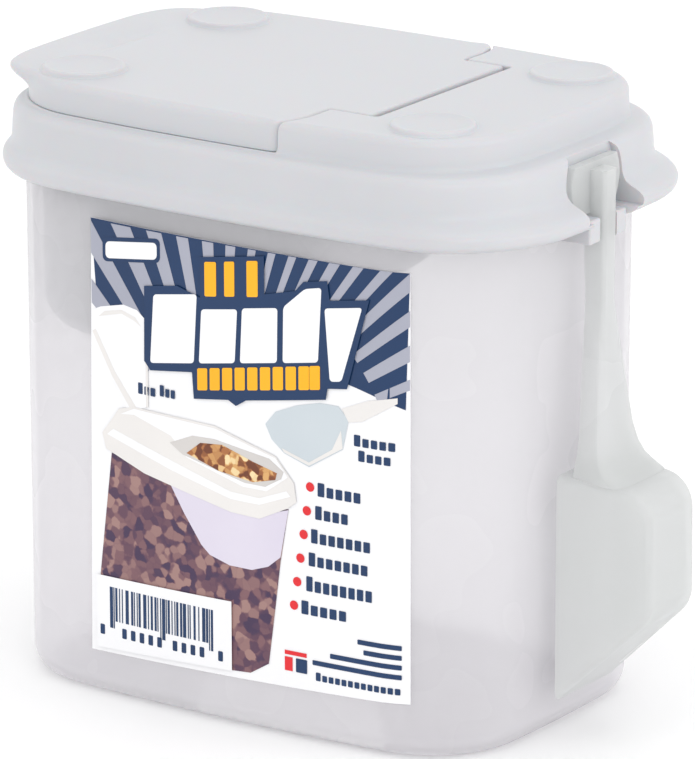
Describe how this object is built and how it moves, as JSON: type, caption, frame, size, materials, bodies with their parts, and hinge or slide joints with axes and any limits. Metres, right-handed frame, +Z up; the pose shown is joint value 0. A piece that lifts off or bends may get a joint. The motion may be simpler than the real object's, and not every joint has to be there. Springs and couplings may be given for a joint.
{
  "type": "cereal dispenser",
  "caption": "Slim translucent food dispenser with a white press-fit lid, a flip-top pouring door, an inner portion tray and a clip-on scoop.",
  "frame": {"origin": "centre of the container's flat base, on the surface it stands on", "axes": "+Z up; +X towards the end where the scoop hangs; -Y is the labelled long side; the flip door is at the -X end"},
  "size_m": [0.1504, 0.0912, 0.132],
  "materials": {
    "container_clear": "moulded clarified polypropylene, translucent, satin gloss",
    "lid_white": "moulded white polypropylene, satin",
    "door_white": "moulded white polypropylene, satin",
    "tray_translucent": "moulded translucent white polypropylene",
    "scoop_natural": "moulded natural polypropylene, slightly cloudy",
    "label_film": "printed self-adhesive film, semi-gloss"
  },
  "bodies": {
    "container": {"container": "container_clear", "front_label": "label_film"},
    "lid": {"lid": "lid_white", "portion_tray": "tray_translucent"},
    "door": {"flip_door": "door_white"},
    "scoop": {"scoop": "scoop_natural"}
  },
  "joints": [
    {"name": "lid_lift", "type": "slide", "parent": "container", "child": "lid", "axis": [0, 0, 1], "range_m": [0, 0.08]},
    {"name": "door_hinge", "type": "hinge", "parent": "lid", "child": "door", "pos_m": [0.0252, 0, 0.1284], "axis": [0, 1, 0], "range_deg": [0, 108]},
    {"name": "scoop_pull", "type": "slide", "parent": "lid", "child": "scoop", "axis": [1, 0, 0], "range_m": [0, 0.03]}
  ]
}
